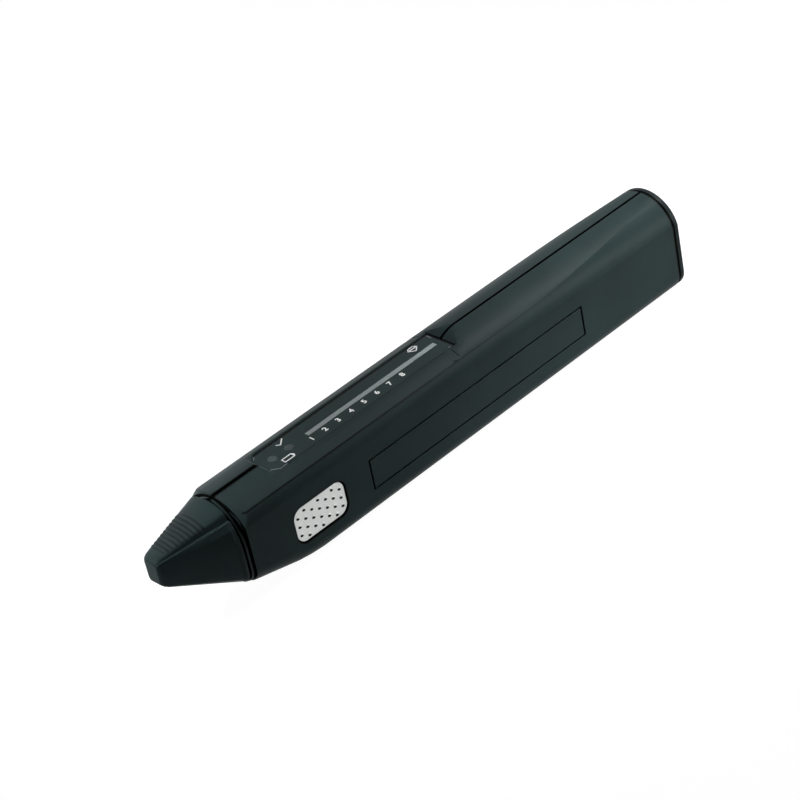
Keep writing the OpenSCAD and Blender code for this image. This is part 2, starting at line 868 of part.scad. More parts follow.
// Closed skin over rings of points, with a fan over each end
module skin(rings) {
    n = len(rings[0]);
    m = len(rings);
    sides = [for (j = [0 : m - 2], i = [0 : n - 1], half = [0, 1])
        let (a = j * n + i, b = j * n + (i + 1) % n)
        half == 0 ? [a, b, b + n] : [a, b + n, a + n]];
    ends = [for (i = [1 : n - 2], end = [0, 1])
        end == 0 ? [0, i + 1, i] : [(m - 1) * n, (m - 1) * n + i, (m - 1) * n + i + 1]];
    polyhedron([for (ring = rings, p = ring) p], concat(sides, ends), convexity = 6);
}

// Thin cap with a sleeve inside that grips the spigot
module protective_cap() {
    hollow_tip_s = point_s - tip_clear;
    color(dark_colour) difference() {
        union() {
            difference() {
                skin(cap_rings);
                skin([for (s = [hollow_tip_s, cap_l / 2, cap_l + over]) hollow_ring(s)]);
            }
            rod_x(spigot_s + sleeve_set, cap_l - sleeve_set, spigot_r + cap_fit + sleeve_t);
        }
        rod_x(spigot_s - seat_gap, cap_l + over, spigot_r + cap_fit);
        cone_x(cone_s - tip_clear, spigot_s, cone_tip_r + cone_clear, cone_base_r + cone_clear);
        rod_x(hollow_tip_s, cone_s, rod_r + rod_clear);
    }
}

module nose_bush() {
    color(dark_colour) difference() {
        union() {
            inner_form(wall + seat_gap, bush_plate_s, bush_rear_s);
            rod_x(spigot_s, bush_rear_s, spigot_r);
            cone_x(cone_s, spigot_s, cone_tip_r, cone_base_r);
            rod_x(bush_plate_s, hub_end_s, hub_r);
        }
        rod_x(cone_s - over, chamber_s + over, rod_r + run_fit);
        rod_x(chamber_s, hub_end_s + over, chamber_r);
    }
}

module probe_rod() {
    color("#b9a27a") difference() {
        union() {
            rod_x(rod_s, collar_end_s, rod_r);
            rod_x(collar_s, collar_end_s, chamber_r - slip_gap);
        }
        rod_x(rod_s - over, rod_s + point_grip, point_r + slip_gap);
        rod_x(heater_s, collar_end_s + over, heater_r + slip_gap);
    }
}

module probe_tip() {
    color("#b87333") {
        rod_x(point_s + point_r, rod_s + point_grip - slip_gap, point_r);
        translate([at(point_s + point_r), 0, probe_z]) sphere(point_r);
    }
}

module probe_heater() {
    color("#d9d2c0") rod_x(heater_s + slip_gap, heater_s + heater_l, heater_r);
}

// One unbroken wire wound along X
module coil(s0, s1, r, wire_r, turns, z) {
    rings_per_turn = 8;
    sides = 6;
    length = s1 - s0 - 2 * wire_r;
    steps = turns * rings_per_turn;
    skin([for (j = [0 : steps])
        let (a = 360 * j / rings_per_turn, s = s0 + wire_r + length * j / steps)
        [for (i = [0 : sides - 1])
            let (b = 360 * i / sides, q = r + wire_r * cos(b))
            [at(s + wire_r * sin(b)), q * cos(a), z + q * sin(a)]]]);
}

module probe_spring() {
    coil_r = chamber_r - spring_wire_r - coil_clear;
    color(metal_colour) coil(collar_end_s + slip_gap, seat_s - slip_gap, coil_r, spring_wire_r, spring_turns,
        probe_z);
}

module spring_seat() {
    color("#8f8a78") {
        rod_x(seat_s, seat_end_s, chamber_r - slip_gap);
        rod_x(hub_end_s, seat_end_s, hub_r);
    }
}

// Two wires from the spring seat up to the underside of the main board, clear of the switch board
lead_r = 0.4;
lead_room = 0.35;
lead_pitch = 1.6;
lead_turn = 2.4;

module probe_leads() {
    turn_s = board_front_s + lead_turn;
    first_y = board_face_y + switch_board_t + lead_r + lead_room;
    color("#a32020") for (y = [first_y, first_y + lead_pitch]) {
        rod_x(seat_end_s, turn_s, lead_r, y);
        translate([at(turn_s), y, probe_z]) sphere(lead_r);
        rod_z(probe_z, board_base_z, lead_r, turn_s, y);
    }
}

module display_window() {
    color("#182122") difference() {
        translate([0, 0, window_base_z]) linear_extrude(window_t) window_outline(0);
        block(bar_front_s - light_gap, bar_front_s + bar_l + light_gap, -bar_w / 2 - light_gap,
            bar_w / 2 + light_gap, board_top_z, sky_z);
        for (s = [low_lamp_s, ready_lamp_s])
            rod_z(board_top_z, sky_z, lamp_r + light_gap, window_front_s + s);
    }
}

bar_front_s = window_front_s + bar_s;
light_face_z = window_top_z - light_gap / 2;

module light_bar() {
    color("#87968f") block(bar_front_s, bar_front_s + bar_l, -bar_w / 2, bar_w / 2,
        board_top_z + chip_h + light_gap, light_face_z);
}

module lamp(s) {
    rod_z(board_top_z, light_face_z, lamp_r, window_front_s + s);
}

module ready_led() {
    color("#76837f") lamp(ready_lamp_s);
}

module low_battery_led() {
    color("#76837f") lamp(low_lamp_s);
}

module bar_leds() {
    pitch = bar_l / chip_count;
    half = chip_share * pitch / 2;
    color("#e8e3c8") for (i = [0 : chip_count - 1]) {
        mid_s = bar_front_s + (i + 0.5) * pitch;
        block(mid_s - half, mid_s + half, -bar_w / 2, bar_w / 2, board_top_z, board_top_z + chip_h);
    }
}

module main_board() {
    color(board_colour) block(board_front_s, board_end_s, -board_half_w, board_half_w, board_base_z,
        board_top_z);
}

chip_l = 9;
chip_w = 7;
chip_t = 1.6;
chip_s = window_front_s + chip_place;

module controller_chip() {
    color("#15181a") block(chip_s, chip_s + chip_l, -chip_w / 2, chip_w / 2, board_base_z - chip_t,
        board_base_z);
}

// Small parts soldered under the board, in two rows in front of the chip
module board_components() {
    part_l = 2;
    part_w = 1.2;
    part_t = 0.7;
    row_count = 4;
    row_y = 3.4;
    color("#6d5f4a") for (i = [1 : row_count], side = [-1, 1])
        block(chip_s - i * 2 * part_l, chip_s - i * 2 * part_l + part_l, side * row_y - part_w / 2,
            side * row_y + part_w / 2, board_base_z - part_t, board_base_z);
}

buzzer_r = 6;
buzzer_h = 3.5;
buzzer_gap = 2;
sound_r = 0.9;

module buzzer() {
    s = chip_s + chip_l + buzzer_r + buzzer_gap;
    color("#2a2a2c") difference() {
        rod_z(board_base_z - buzzer_h, board_base_z, buzzer_r, s);
        rod_z(board_base_z - buzzer_h - over, board_base_z - buzzer_h + over, sound_r, s);
    }
}

// Low dome on the face of the pad
module stud(s, z) {
    dome_r = (pow(stud_r, 2) + pow(stud_h, 2)) / (2 * stud_h);
    intersection() {
        translate([at(s), -half_w + dome_r, z]) sphere(dome_r);
        rod_y(-half_w - over, pad_face_y + slip_gap, dome_r, s, z);
    }
}

// Metal pad with columns of studs, three and four in turn
module button_pad() {
    color(metal_colour) {
        along_y(pad_face_y, pad_back_y) pad_outline(0);
        for (i = [0 : column_count - 1]) {
            rows = i % 2 == 0 ? 3 : 4;
            for (k = [0 : rows - 1])
                stud(pad_mid_s + (i - (column_count - 1) / 2) * stud_pitch_x,
                    pad_z + (k - (rows - 1) / 2) * stud_pitch_z);
        }
    }
}

// Plastic carrier: a boss behind the pad, a flange inside the wall and the stem to the switch
module button_carrier() {
    color(dark_colour) {
        along_y(pad_back_y, flange_y + flange_t / 2) pad_outline(-pad_gap);
        along_y(flange_y, flange_y + flange_t) pad_outline(flange_rim);
        rod_y(flange_y, stem_end_y, stem_r, pad_mid_s, pad_z);
    }
}

module switch_plunger() {
    color("#c9c6b8") rod_y(plunger_y, plunger_y + plunger_l, plunger_r, pad_mid_s, pad_z);
}

module button_switch() {
    half = switch_w / 2;
    color("#26282b") difference() {
        block(pad_mid_s - half, pad_mid_s + half, switch_y, board_face_y, pad_z - half, pad_z + half);
        rod_y(switch_y - over, plunger_y + plunger_l + pad_travel + seat_gap, plunger_r + slip_gap,
            pad_mid_s, pad_z);
    }
}

module switch_board() {
    color(board_colour) difference() {
        block(pad_mid_s - switch_board_l / 2, pad_mid_s + switch_board_l / 2, board_face_y,
            board_face_y + switch_board_t, pad_z - switch_board_h / 2, pad_z + switch_board_h / 2);
        for (k = [-1, 1])
            rod_y(board_face_y - over, board_face_y + switch_board_t + over, peg_r + slip_gap,
                pad_mid_s + k * peg_s, pad_z + k * peg_z);
    }
}

// Two pins from the top edge of the switch board up to the main board
module switch_leads() {
    pin_places = [2, 5];
    color("#a32020") for (place = pin_places)
        rod_z(pad_z + switch_board_h / 2, board_base_z, lead_r, pad_mid_s + place,
            board_face_y + switch_board_t / 2);
}

// Wall between the boards and the cells, with slots for the contact strips
module battery_bulkhead() {
    color(dark_colour) difference() {
        inner_form(wall + seat_gap, bulkhead_s, bulkhead_s + bulkhead_t);
        for (side = [-1, 1])
            strip_path(side * riser_y, seat_gap);
    }
}

// Flat strip from a contact forward on to the main board, grown by g
module strip_path(y, g) {
    block(board_end_s - strip_reach - g, contact_s + g, y - riser_w / 2 - g, y + riser_w / 2 + g,
        board_top_z - g, board_top_z + contact_t + g);
}

module positive_contact() {
    half = 3;
    color(metal_colour) {
        block(contact_s - contact_t, contact_s, -riser_y - riser_w / 2, half, upper_cell_z - half,
            board_top_z + contact_t);
        strip_path(-riser_y, 0);
    }
}

module negative_contact() {
    half = 3.6;
    color(metal_colour) {
        block(contact_s - contact_t, contact_s, -half, riser_y + riser_w / 2, lower_cell_z - half,
            lower_cell_z + half);
        block(contact_s - contact_t, contact_s, riser_y - riser_w / 2, riser_y + riser_w / 2, lower_cell_z,
            board_top_z + contact_t);
        strip_path(riser_y, 0);
    }
}

module negative_spring() {
    color(metal_colour) coil(contact_s + slip_gap, lower_cell_s - slip_gap, contact_spring_r, contact_wire_r,
        contact_turns, lower_cell_z);
}

// Cell turned about its own axis, with its button end towards +X before any mirror
module cell_form() {
    rotate([0, 90, 0]) rotate_extrude() polygon([
        [0, 0],
        [cell_r - cell_edge_r, 0],
        [cell_r, cell_edge_r],
        [cell_r, cell_l - nub_l - cell_edge_r],
        [cell_r - cell_edge_r, cell_l - nub_l],
        [nub_r, cell_l - nub_l],
        [nub_r, cell_l],
        [0, cell_l]
    ]);
}

module upper_cell() {
    color("#7a6a3a") translate([at(upper_cell_s + cell_l), 0, upper_cell_z]) mirror([1, 0, 0]) cell_form();
}

module lower_cell() {
    color("#7a6a3a") translate([at(lower_cell_s), 0, lower_cell_z]) cell_form();
}

// Tail cap: rings of points run back from the shells.
// Each ring goes from the crown over the round roof, down the side and round the bottom corner.
tail_roof_steps = 12;
tail_corner_steps = 6;
tail_edge_steps = 3;

function tail_half_ring(d) =
    let (r = tail_r - d, corner = corner_r - d, roof_end_a = acos((half_w - d) / r))
    concat(
        [for (i = [0 : tail_roof_steps])
            let (a = blend(90, roof_end_a, i / tail_roof_steps))
            [r * cos(a), body_h - tail_r + r * sin(a)]],
        [for (i = [0 : tail_corner_steps])
            let (a = 90 * i / tail_corner_steps)
            [half_w - corner_r + corner * cos(a), corner_r - corner * sin(a)]]
    );

function tail_ring(s, d) =
    let (half = tail_half_ring(d), n = len(half))
    [for (p = concat(half, [for (i = [n - 1 : -1 : 1]) [-half[i][0], half[i][1]]])) [at(s), p[0], p[1]]];

tail_rings = concat(
    [tail_ring(tail_s + tail_gap, 0)],
    [for (i = [0 : tail_edge_steps])
        let (a = 90 * i / tail_edge_steps)
        tail_ring(total_l - tail_edge_r * (1 - sin(a)), tail_edge_r * (1 - cos(a)))]
);

module tail_cap() {
    color(shell_colour) {
        skin(tail_rings);
        along_x(plug_s, tail_s + tail_gap + slip_gap) front_section(wall + plug_fit);
    }
}

module bridge_contact() {
    half = 3.5;
    color(metal_colour) block(bridge_s, plug_s, -half, half, lower_cell_z - half, upper_cell_z + half);
}

module bridge_spring() {
    color(metal_colour) coil(upper_cell_s + cell_l + slip_gap, bridge_s - slip_gap, contact_spring_r,
        contact_wire_r, contact_turns, upper_cell_z);
}

right_shell();
left_shell();
case_screws();
protective_cap();
nose_bush();
probe_rod();
probe_tip();
probe_heater();
probe_spring();
spring_seat();
probe_leads();
display_window();
light_bar();
ready_led();
low_battery_led();
bar_leds();
main_board();
controller_chip();
board_components();
buzzer();
button_pad();
button_carrier();
switch_plunger();
button_switch();
switch_board();
switch_leads();
battery_bulkhead();
positive_contact();
negative_contact();
negative_spring();
upper_cell();
lower_cell();
tail_cap();
bridge_contact();
bridge_spring();
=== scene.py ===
"""Diamond tester: finished surfaces, printed figures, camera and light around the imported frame."""

import json
import math

import bmesh
import bpy
from mathutils import Matrix, Vector


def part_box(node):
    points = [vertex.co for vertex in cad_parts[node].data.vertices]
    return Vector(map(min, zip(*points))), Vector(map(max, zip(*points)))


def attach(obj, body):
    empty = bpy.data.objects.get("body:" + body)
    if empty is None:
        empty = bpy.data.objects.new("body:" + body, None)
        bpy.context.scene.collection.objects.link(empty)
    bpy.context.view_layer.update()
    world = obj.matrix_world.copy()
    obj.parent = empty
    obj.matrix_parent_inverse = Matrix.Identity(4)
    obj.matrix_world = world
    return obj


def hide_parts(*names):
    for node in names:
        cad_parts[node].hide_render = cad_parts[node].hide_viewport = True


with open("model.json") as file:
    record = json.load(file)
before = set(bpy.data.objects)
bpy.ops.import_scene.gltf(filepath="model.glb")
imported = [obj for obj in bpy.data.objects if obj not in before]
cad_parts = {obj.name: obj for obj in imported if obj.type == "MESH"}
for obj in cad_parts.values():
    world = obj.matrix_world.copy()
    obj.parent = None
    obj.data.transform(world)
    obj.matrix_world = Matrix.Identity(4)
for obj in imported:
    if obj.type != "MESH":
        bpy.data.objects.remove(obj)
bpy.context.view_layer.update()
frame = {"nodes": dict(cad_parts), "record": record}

MM = 0.001

# The camera stands where the photograph was taken: unit directions in the row frame.
CAMERA_PLACE = Vector((-329.39, -410.07, 360.05)) * MM
CAMERA_RIGHT = Vector((0.69600, -0.69569, -0.17775))
CAMERA_UP = Vector((0.49885, 0.29043, 0.81658))
CAMERA_BACK = Vector((-0.51647, -0.65701, 0.54918))
SENSOR_MM = 36.0
LENS_MM = 114.70

# Meshes: points closer than this are one point, and faces that differ by less are one face.
WELD = 2e-6
FLAT_ANGLE = math.radians(0.4)
# Edges sharper than this are rounded. Those between the two angles stay as crisp creases.
EDGE_ANGLE = math.radians(28)
CREASE_ANGLE = math.radians(10)
EDGE_SEGMENTS = 2
SHADING_WEIGHT = 60

# Places of the gaps between the pieces, in millimetres
NOSE_X = -88.0
CAP_REAR_X = -68.83
SHELL_FRONT_X = -68.17
LIP_GROOVE_X = (-67.5, -66.83)
WINDOW_X = (-51.97, 9.43)
WINDOW_HALF = 5.0
WINDOW_GAP = 0.3
DECK_Z = 25.7
PAD_X = -44.97
PAD_Z = 11.57
PAD_HALF = (8.1, 4.7)
PAD_GAP = 0.3
SHELL_REAR_X = 85.83
TAIL_FRONT_X = 86.18
SEAM_HALF = 0.3
FRONT_SEAM_HALF = 0.55
NEAR = 0.02
# A face whose normal points less than this along Y is a wall of the pad's opening.
OPENING_WALL = 0.5

# Side panel, in millimetres, and the gap round its plate: front, rear, bottom, top
PANEL_X = (-28.23, 48.77)
PANEL_Z = (7.33, 16.0)
PANEL_Y = -9.65
PANEL_THICK = 0.3
PANEL_GAPS = (0.5, 0.5, 0.3, 0.45)
PANEL_EDGE = 0.08

# Painted shade on the edges of the seams, tail gap and window, and a painted dark line along the
# shoulder crease, in millimetres.
# Pairs are where a fade starts and ends.
REAR_SEAM_EDGE = 0.4
FRONT_SEAM_EDGE = 0.8
TAIL_EDGE_X = 85.45
TAIL_CAP_EDGE_X = 86.5
CREASE_Y = 8.9
CREASE_Z = 24.1
CREASE_HALF = 0.1
CREASE_FADE_X = (-40.0, 70.0)
CREASE_FADE_Y = (8.3, 8.1)
ROOF_FADE_Z = (18.0, 17.0)
WINDOW_FAR_EDGE = 4.4
WINDOW_NEAR_EDGE = -4.72
WINDOW_REAR_EDGE = 8.95
EDGE_SOFT = 0.08

# Painted shade on the front sides of the studs on the pad, in millimetres
STUD_PITCH_X = 2.27
STUD_PITCH_Z = 2.45
STUD_SHADE_X = 0.2
STUD_SHADE_Z = 0.05
STUD_SHADE_R = (0.3, 0.5)
STUD_REACH_Z = 4.2
# Every second column is shifted by this share of the pitch.
STUD_SHIFT = 0.5

# Painted shade on the rim of the pad's opening, in millimetres
PAD_CORNER = 2.7
PAD_RIM = 0.5

# Painted shade in the grooves between the ribs of the nose cap, in millimetres.
# The foot of the ribs rises towards the shell.
RIB_PITCH = 1.15
RIB_GROOVE_X = -83.79
RIB_X = (-85.0, -74.4)
RIB_FOOT_Z = (22.6, 22.3)
RIB_RISE = 0.1043
# Half width of a groove as a share of the pitch, where its fade starts and ends, and its strength
RIB_GROOVE = (0.1, 0.4)
RIB_SHADE = 0.6

# Grain of the materials: noise scales in features per metre, depths in metres
CLOUD_SCALE = 60.0
PLASTIC_GRAIN = 4500.0
PANEL_GRAIN = 7000.0
LENS_GRAIN = 900.0
METAL_GRAIN = 3000.0
CLOUD_DETAIL = 3.0
PLASTIC_DETAIL = 2.0
METAL_DETAIL = 4.0
GRAIN_DEPTH = 4e-6
PANEL_DEPTH = 2e-6
POLISH_DEPTH = 1e-6
# How far colour and roughness drift about their middle
COLOUR_DRIFT = 0.12
GLOSS_DRIFT = 0.05
METAL_SHADE = 0.85
METAL_GLOSS_DRIFT = 0.08
CLOUD_SPAN = (0.3, 0.7)
# Marks are drawn out along the axis that has the small number.
MARKS_EVEN = (1, 1, 1)
MARKS_X = (0.1, 1, 1)
MARKS_Y = (1, 0.1, 1)

BODY_COLOUR = (0.022, 0.036, 0.037)
# Dark colour of the painted shade in gaps, grooves, recesses and along edges
PAINTED_SHADE_COLOUR = (0.003, 0.004, 0.004)
BODY_SPECULAR = 0.04
PLAIN_SPECULAR = 0.1

# Ends of the light bar, in millimetres
BAR_X = (-36.77, 7.43)

# Sockets of the colour mix node
MIX_FACTOR, MIX_FIRST, MIX_SECOND = 0, 6, 7
MIX_RESULT = 2

# Printed figures on the scale window, in millimetres
FIGURE_COUNT = 8
FIGURE_X = -37.3
FIGURE_PITCH = 4.38
FIGURE_Y = -2.5
FIGURE_SIZE = 2.25
FIGURE_BOLD = 0.07
PRINT_THICK = 0.012
PRINT_LIFT = 0.004

# Printed signs, and painted highlights along the window's corners: strokes through points on the
# window, in millimetres
SIGN_WIDTH = 0.3
BATTERY_SIGN = [
    [(-47.3, -3.9), (-44.3, -3.9), (-44.3, -2.5), (-47.3, -2.5), (-47.3, -3.9)],
    [(-44.0, -3.5), (-44.0, -2.9)],
]
TICK_SIGN = [
    [(-43.9, 3.1), (-43.1, 2.4), (-41.3, 4.0)],
]
GEM_SIGN = [
    [(1.2, 3.3), (1.9, 4.1), (3.5, 4.1), (4.2, 3.3), (2.7, 1.9), (1.2, 3.3)],
    [(1.2, 3.3), (4.2, 3.3)],
]
GLINT_WIDTH = 0.22
PAINTED_GLINTS = [
    [(-51.3, -3.15), (-49.75, -4.72), (-47.6, -4.72)],
    [(-50.9, 3.5), (-50.1, 4.3)],
    [(8.75, 4.1), (8.75, 2.7)],
    [(8.3, -4.35), (7.9, -4.35)],
]

# Edge radius of each finished node, in millimetres
EDGE_WIDTHS = {
    "right_shell": 0.12,
    "left_shell": 0.12,
    "tail_cap": 0.12,
    "protective_cap": 0.08,
    "nose_bush": 0.12,
    "display_window": 0.12,
    "light_bar": 0.08,
    "ready_led": 0.12,
    "low_battery_led": 0.12,
    "button_pad": 0.06,
    "case_screws": 0.08,
    "probe_rod": 0.1,
}

# Nodes whose material isn't that of their slot
OWN_MATERIALS = {"light_bar": "bar", "tail_cap": "tail"}

# Lamps: place, target and size in metres, power in watts, spread of the light in degrees
LAMPS = {
    "tail_key": ((0.37, -0.12, 0.54), (0.09, 0, 0.02), 0.12, 0.085, 22),
    "roof": ((0.30, 0.03, 0.52), (0, 0, 0.02), 0.2, 0.073, 60),
    "back": ((-0.1, 0.55, 0.35), (0, 0, 0.01), 0.4, 0.58, 180),
    "side": ((0.40, -0.50, 0.15), (0.09, 0, 0.01), 0.16, 0.065, 22),
    "nose": ((-0.36, 0.20, 0.42), (-0.085, 0, 0.022), 0.06, 0.013, 5),
}

# Floor: half its side in metres, its greys for light that spreads and as seen, its glow as seen
FLOOR_HALF = 4.0
FLOOR_SPREAD_GREY = 0.5
FLOOR_SEEN_GREY = 0.2
FLOOR_GLOW = 0.97

node_slots = {part["node"]: part["material_slot"] for part in frame["record"]["subparts"]}
node_body = {
    node: body
    for body, members in frame["record"]["behaviour"]["bodies"].items()
    for node in members
}


class Graph:
    """The node graph of a material or of the world."""

    def __init__(self, owner):
        owner.use_nodes = True
        self.nodes = owner.node_tree.nodes
        self.links = owner.node_tree.links

    def feed(self, node, inputs):
        """Feeds the inputs of a node: each value is a socket, a plain number or a colour."""
        for key, value in inputs.items():
            if isinstance(value, bpy.types.NodeSocket):
                self.links.new(value, node.inputs[key])
            else:
                node.inputs[key].default_value = value

    def add(self, kind, inputs=None):
        """Adds a node with its inputs."""
        node = self.nodes.new(kind)
        self.feed(node, inputs or {})
        return node

    def noise(self, scale, detail=CLOUD_DETAIL, stretch=MARKS_EVEN):
        """Noise in the row frame: scale is in features per metre."""
        place = self.add("ShaderNodeTexCoord").outputs["Object"]
        mapping = self.add("ShaderNodeMapping", {"Vector": place, "Scale": stretch})
        texture = self.add("ShaderNodeTexNoise", {
            "Vector": mapping.outputs["Vector"],
            "Scale": scale,
            "Detail": detail,
        })
        return texture.outputs["Fac"]

    def ramp(self, factor, low, high, span=CLOUD_SPAN):
        """Colour that runs from low to high while the factor goes through the span."""
        node = self.add("ShaderNodeValToRGB", {"Fac": factor})
        for element, place, colour in zip(node.color_ramp.elements, span, (low, high)):
            element.position = place
            element.color = (*colour, 1)
        return node.outputs["Color"]

    def spread(self, factor, low, high):
        """Number that runs from low to high with the factor."""
        node = self.add("ShaderNodeMapRange", {"Value": factor, "To Min": low, "To Max": high})
        return node.outputs["Result"]

    def bump(self, factor, depth):
        """Normal of a relief: depth is in metres."""
        node = self.add("ShaderNodeBump", {"Height": factor, "Strength": 1.0, "Distance": depth})
        return node.outputs["Normal"]

    def place_mm(self):
        """Place on the piece in millimetres, as three numbers."""
        place = self.add("ShaderNodeTexCoord").outputs["Object"]
        scaled = self.add("ShaderNodeVectorMath")
        scaled.operation = "SCALE"
        self.feed(scaled, {0: place, "Scale": 1 / MM})
        axes = self.add("ShaderNodeSeparateXYZ", {"Vector": scaled.outputs["Vector"]})
        return axes.outputs["X"], axes.outputs["Y"], axes.outputs["Z"]

    def maths(self, operation, *values):
        """One step of arithmetic on sockets and numbers."""
        node = self.add("ShaderNodeMath", dict(enumerate(values)))
        node.operation = operation
        return node.outputs["Value"]

    def distance(self, value, middle):
        """How far a number is from a middle."""
        return self.maths("ABSOLUTE", self.maths("SUBTRACT", value, middle))

    def fall(self, value, start, end):
        """1 up to the start, 0 from the end on. The end may lie below the start."""
        rising = start < end
        node = self.add("ShaderNodeMapRange", {
            "Value": value,
            "From Min": min(start, end),
            "From Max": max(start, end),
            "To Min": 1.0 if rising else 0.0,
            "To Max": 0.0 if rising else 1.0,
        })
        node.interpolation_type = "SMOOTHSTEP"
        return node.outputs["Result"]

    def up_to(self, value, limit):
        """1 up to the limit, with a short soft end above it."""
        return self.fall(value, limit, limit + EDGE_SOFT)

    def down_to(self, value, limit):
        """1 down to the limit, with a short soft end below it."""
        return self.fall(value, limit, limit - EDGE_SOFT)

    def joined(self, operation, masks):
        """All masks, taken together one after the other."""
        total = masks[0]
        for mask in masks[1:]:
            total = self.maths(operation, total, mask)
        return total

    def all_of(self, *masks):
        return self.joined("MULTIPLY", masks)

    def any_of(self, *masks):
        return self.joined("MAXIMUM", masks)

    def darkened(self, tint, mask):
        """The tint, with painted shade in the dark colour of the gaps where the mask is 1."""
        mix = self.add("ShaderNodeMix")
        mix.data_type = "RGBA"
        self.feed(mix, {MIX_FACTOR: mask, MIX_FIRST: tint, MIX_SECOND: (*PAINTED_SHADE_COLOUR, 1)})
        return mix.outputs[MIX_RESULT]

    def seen_directly(self):
        """1 for what is seen directly, in gloss or through glass, 0 for light that spreads."""
        rays = self.add("ShaderNodeLightPath").outputs
        return self.any_of(
            rays["Is Camera Ray"],
            rays["Is Glossy Ray"],
            rays["Is Transmission Ray"],
        )


def pad_rim_painted_shade(graph, x, y, z):
    """Painted shade on the rim round the opening of the pad."""
    square = 0.0
    for value, middle, half in ((x, PAD_X, PAD_HALF[0]), (z, PAD_Z, PAD_HALF[1])):
        past = graph.maths("SUBTRACT", graph.distance(value, middle), half - PAD_CORNER)
        past = graph.maths("MAXIMUM", past, 0.0)
        square = graph.maths("ADD", graph.maths("MULTIPLY", past, past), square)
    return graph.all_of(
        graph.up_to(graph.maths("SQRT", square), PAD_CORNER + PAD_RIM),
        graph.up_to(y, -CREASE_Y),
    )


def shell_painted_shade(graph):
    """Painted shade on the edges of the seam, tail gap and pad opening, and a painted dark line
    along the crease, which fades out.
    """
    x, y, z = graph.place_mm()
    side = graph.maths("ABSOLUTE", y)
    roof = graph.fall(z, *ROOF_FADE_Z)
    front_seam = graph.all_of(graph.up_to(x, WINDOW_X[0]), roof, graph.up_to(side, FRONT_SEAM_EDGE))
    rear_seam = graph.all_of(roof, graph.up_to(side, REAR_SEAM_EDGE))
    tail = graph.down_to(x, TAIL_EDGE_X)
    crease = graph.all_of(
        graph.up_to(graph.distance(z, CREASE_Z), CREASE_HALF),
        graph.fall(side, *CREASE_FADE_Y),
        graph.fall(x, *CREASE_FADE_X),
    )
    return graph.any_of(front_seam, rear_seam, tail, crease, pad_rim_painted_shade(graph, x, y, z))


def tail_painted_shade(graph):
    """Painted shade on the front edge of the tail cap."""
    x, _, _ = graph.place_mm()
    return graph.all_of(
        graph.up_to(x, TAIL_CAP_EDGE_X),
        graph.fall(x, TAIL_FRONT_X - NEAR, TAIL_FRONT_X - EDGE_SOFT),
    )


def rib_painted_shade(graph):
    """Painted shade in the grooves between the ribs on top of the nose cap."""
    x, _, z = graph.place_mm()
    turn = graph.maths("DIVIDE", graph.maths("SUBTRACT", x, RIB_GROOVE_X), RIB_PITCH)
    off = graph.distance(turn, graph.maths("ROUND", turn))
    rise = graph.maths("MULTIPLY", graph.maths("SUBTRACT", x, NOSE_X), RIB_RISE)
    ribs = graph.all_of(
        graph.fall(off, *RIB_GROOVE),
        graph.down_to(x, RIB_X[0]),
        graph.up_to(x, RIB_X[1]),
        graph.fall(graph.maths("SUBTRACT", z, rise), *RIB_FOOT_Z),
    )
    return graph.maths("MULTIPLY", ribs, RIB_SHADE)


def window_painted_shade(graph):
    """Painted shade along the edges of the scale window."""
    x, y, _ = graph.place_mm()
    return graph.any_of(
        graph.down_to(y, WINDOW_FAR_EDGE),
        graph.up_to(y, WINDOW_NEAR_EDGE),
        graph.down_to(x, WINDOW_REAR_EDGE),
    )


def stud_painted_shade(graph):
    """Painted shade on the front sides of the studs, which stand in columns of three and four."""
    x, _, z = graph.place_mm()
    across = graph.maths("SUBTRACT", x, PAD_X - STUD_SHADE_X)
    across = graph.maths("DIVIDE", across, STUD_PITCH_X)
    column = graph.maths("ROUND", across)
    odd = graph.maths("ABSOLUTE", graph.maths("MODULO", column, 2))
    up = graph.maths("SUBTRACT", z, PAD_Z - STUD_SHADE_Z)
    up = graph.maths("DIVIDE", up, STUD_PITCH_Z)
    up = graph.maths("ADD", up, STUD_SHIFT)
    up = graph.maths("SUBTRACT", up, graph.maths("MULTIPLY", odd, STUD_SHIFT))
    row = graph.maths("ROUND", up)
    off_x = graph.maths("MULTIPLY", graph.maths("SUBTRACT", across, column), STUD_PITCH_X)
    off_z = graph.maths("MULTIPLY", graph.maths("SUBTRACT", up, row), STUD_PITCH_Z)
    square = graph.maths(
        "ADD",
        graph.maths("MULTIPLY", off_x, off_x),
        graph.maths("MULTIPLY", off_z, off_z),
    )
    return graph.all_of(
        graph.fall(graph.maths("SQRT", square), *STUD_SHADE_R),
        graph.up_to(graph.distance(z, PAD_Z), STUD_REACH_Z),
    )


materials = {}


def new_material(name):
    """Keeps a new material under its name, and gives its graph and shader."""
    materials[name] = bpy.data.materials.new(name)
    graph = Graph(materials[name])
    return graph, graph.nodes["Principled BSDF"]


def times(colour, factor):
    return tuple(factor * c for c in colour)


def moulded(name, colour, roughness, grain=PLASTIC_GRAIN, depth=GRAIN_DEPTH,
            specular=PLAIN_SPECULAR, edges=None):
    """Moulded plastic: a fine spark-eroded grain, cloudy gloss and a little colour drift."""
    graph, shader = new_material(name)
    cloud = graph.noise(CLOUD_SCALE)
    tint = graph.ramp(cloud, times(colour, 1 - COLOUR_DRIFT), times(colour, 1 + COLOUR_DRIFT))
    # Painted shade: where the mask is 1, the tint turns to the dark colour of the gaps.
    if edges:
        tint = graph.darkened(tint, edges(graph))
    graph.feed(shader, {
        "Base Color": tint,
        "Roughness": graph.spread(cloud, roughness - GLOSS_DRIFT, roughness + GLOSS_DRIFT),
        "Specular IOR Level": specular,
        "Normal": graph.bump(graph.noise(grain, PLASTIC_DETAIL), depth),
    })


